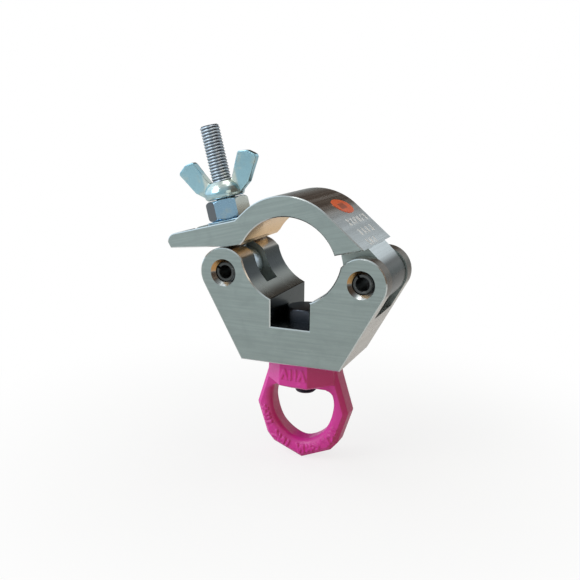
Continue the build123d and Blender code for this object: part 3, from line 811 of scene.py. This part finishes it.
# ---- Swivel bush and thrust washer ---------------------------------------------------------
# Turned steel, oiled: the bush is screwed up the bolt and carries the eye on its flange, and a
# thin washer lets the eye turn under the body.
turned_finish, tree, shader = start_finish("turned_steel", 1.0)
touch = use_group(tree, "handling", Amount=1.0).outputs
rings_of_tool = noise(tree, stretch(tree, spot_on(tree), 0.05, 0.05, 1.0), 4000.0, 2.0)
oiled = blend_colour(tree, touch["Smudge"], (0.34, 0.34, 0.35), (0.20, 0.19, 0.18))
tree.links.new(oiled, shader.inputs["Base Color"])
tree.links.new(between(tree, rings_of_tool, 0.3, 0.7, 0.25, 0.42), shader.inputs["Roughness"])
relief(tree, shader, (rings_of_tool, 0.00004, 0.4))
for node in ("eye_bush", "thrust_washer"):
    refinish(node, turned_finish)

# ---- Lifting eye ---------------------------------------------------------------------------
# A forged steel eye, powder coated pink: eight-sided outside, a stout eight-sided hub, a round
# edged opening, and plain raised forging marks round the front and back.
EYE_HALF, HUB_HALF, EYE_MIDDLE_Z = 6.5, 17.6, -85.0
EYE_VOXEL, EYE_PASSES = 0.36 * MM, 3
OPENING = ((-14.5, -71.5), (-16.6, -80.5), (-12.0, -93.5), (0.0, -100.2), (12.0, -93.5), (16.6, -80.5),
           (14.5, -71.5))
EDGE_ROUND = 4.2
OPENING_TOP, FULLY_ROUND_BELOW, FADE_HIGH = -71.5, -72.0, 3.5
MARK_GROUPS = ((192, 3), (236, 3), (283, 4), (327, 3))      # degrees round the ring, marks in the group
MARK_RADIUS, MARK_STEP, MARK_HALF, MARK_RAISED = 19.8, 9.5, 1.9, 0.65
HUB_MARKS, HUB_MARK_STEP, HUB_MARK_Z, HUB_MARK_HALF = 3, 4.6, -61.8, 2.3
MARK_WIDE, MARK_SLOPE = 0.85, 0.35
STROKE_PAIRS = (((-0.6, -1, -0.6, 1), (0.6, -1, 0.6, 1)), ((-0.7, -1, 0, 1), (0, 1, 0.7, -1)),
                ((0, -1, 0, 1), (-0.7, 0, 0.7, 0)), ((-0.6, 1, 0.6, 0), (0.6, 0, -0.6, -1)))
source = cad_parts["lifting_eye"].data
eye = bmesh.new()
eye.from_mesh(source)
bmesh.ops.remove_doubles(eye, verts=eye.verts, dist=1e-6)
paint_finish, tree, shader = start_finish("pink_powder_coat", 0.0, Coat_Weight=0.22, Coat_Roughness=0.25)
eye_piece = finish_piece("lifting_eye_forged", eye, "eye", "eye_paint", paint_finish, "lifting_eye")
forge(eye_piece, EYE_VOXEL, EYE_PASSES)


def smooth_run(corners, steps):
    """Points along a smooth curve through the corners."""
    line = []
    for k in range(len(corners) - 1):
        a, b = corners[max(k - 1, 0)], corners[k]
        c, d = corners[k + 1], corners[min(k + 2, len(corners) - 1)]
        a, b, c, d = map(np.array, (a, b, c, d))
        for t in np.arange(steps) / steps:
            squared = 2 * a - 5 * b + 4 * c - d
            cubed = 3 * b - a - 3 * c + d
            line.append(0.5 * (2 * b + (c - a) * t + squared * t * t + cubed * t ** 3))
    return np.array(line + [np.array(corners[-1])])


def nearest(points, start, end):
    """Nearest point of a straight stroke to each of many flat points, and how far it is."""
    run = end - start
    share = np.clip(((points - start) @ run) / (run @ run), 0, 1)
    foot = start + share[:, None] * run
    return foot, np.linalg.norm(points - foot, axis=1)


# round the edges of the opening, front and back
skin = eye_piece.data
points = np.empty(len(skin.vertices) * 3)
skin.vertices.foreach_get("co", points)
points = points.reshape(-1, 3) / MM
flat = points[:, (0, 2)].copy()
line = smooth_run(OPENING, 10)
reach = np.full(len(flat), 1e3)
foot = np.zeros_like(flat)
for start, end in zip(line[:-1], line[1:]):
    close, away = nearest(flat, start, end)
    better = away < reach
    reach[better], foot[better] = away[better], close[better]
outward = foot - np.array((0.0, EYE_MIDDLE_Z))
outward /= np.linalg.norm(outward, axis=1)[:, None]
depth = ((flat - foot) * outward).sum(axis=1)
inner = EDGE_ROUND - np.clip(depth, 0, EDGE_ROUND)
side = EDGE_ROUND - np.clip(EYE_HALF - np.abs(points[:, 1]), 0, EDGE_ROUND)
corner = np.hypot(inner, side)
on_ring = (flat[:, 1] < FULLY_ROUND_BELOW) & (np.abs(points[:, 1]) < EYE_HALF + 0.3)
turning = (corner > EDGE_ROUND) & (inner > 0) & (side > 0) & on_ring
fade_out = np.clip((OPENING_TOP - flat[turning, 1]) / FADE_HIGH, 0, 1)
pull = (1 - EDGE_ROUND / corner[turning]) * fade_out
flat[turning] += outward[turning] * (inner[turning] * pull)[:, None]
points[turning, 1] -= np.sign(points[turning, 1]) * side[turning] * pull
points[:, (0, 2)] = flat

# raise the plain forging marks on the ring and on the hub's front and back
random.seed(5)
strokes = []


def add_mark(centre, across, out, size, half):
    """A random pair of strokes round a centre, on the faces that are half a thickness out."""
    for x0, z0, x1, z1 in random.choice(STROKE_PAIRS):
        start, end = (across * x0 + out * z0) * size, (across * x1 + out * z1) * size
        strokes.append((centre + start, centre + end, half))


for middle, count in MARK_GROUPS:
    for k in range(count):
        turn = radians(middle + (k - (count - 1) / 2) * MARK_STEP)
        out, across = np.array((cos(turn), sin(turn))), np.array((-sin(turn), cos(turn)))
        add_mark(np.array((0.0, EYE_MIDDLE_Z)) + out * MARK_RADIUS, across, out, MARK_HALF, EYE_HALF)
for k in range(HUB_MARKS):
    centre = np.array(((k - (HUB_MARKS - 1) / 2) * HUB_MARK_STEP, HUB_MARK_Z))
    add_mark(centre, np.array((1.0, 0.0)), np.array((0.0, 1.0)), HUB_MARK_HALF, HUB_HALF)
raised = np.zeros(len(points))
for start, end, half in strokes:
    away = nearest(points[:, (0, 2)], start, end)[1]
    on_face = np.abs(np.abs(points[:, 1]) - half) < 0.5
    raised = np.maximum(raised, np.where(on_face, np.clip((MARK_WIDE - away) / MARK_SLOPE, 0, 1), 0))
points[:, 1] += np.sign(points[:, 1]) * raised * MARK_RAISED
skin.vertices.foreach_set("co", (points * MM).ravel())
skin.update()

# powder coat: orange peel and smudges, painted shade in crimson on the faces turned right and painted light
# in hot pink on those turned left
PAINT_FRESH, PAINT_DULL, PAINT_CHALKY = (0.68, 0.024, 0.31), (0.52, 0.014, 0.21), (0.80, 0.08, 0.42)
PAINT_SHADED_RIGHT, PAINT_LIT_LEFT = (0.44, 0.010, 0.095), (0.80, 0.032, 0.38)
touch = use_group(tree, "handling", Amount=1.0).outputs
peel = noise(tree, spot_on(tree), 900.0, 3.0, Roughness=0.55)
scale_pits = noise(tree, spot_on(tree), 260.0, 4.0)
sideways = facing(tree)[0]
paint = blend_colour(tree, touch["Smudge"], PAINT_FRESH, PAINT_DULL)
paint = blend_colour(tree, between(tree, scale_pits, 0.60, 0.75, 0.0, 0.5), paint, PAINT_CHALKY)
# painted shade on faces turned right, painted light on faces turned left
paint = blend_colour(tree, between(tree, sideways, 0.12, 0.75, 0.0, 0.85), paint, PAINT_SHADED_RIGHT)
paint = blend_colour(tree, between(tree, sideways, -0.15, -0.80, 0.0, 0.7), paint, PAINT_LIT_LEFT)
tree.links.new(paint, shader.inputs["Base Color"])
tree.links.new(between(tree, peel, 0.3, 0.7, 0.36, 0.52), shader.inputs["Roughness"])
relief(tree, shader, (scale_pits, 0.0003, 0.2), (peel, 0.00008, 0.3))
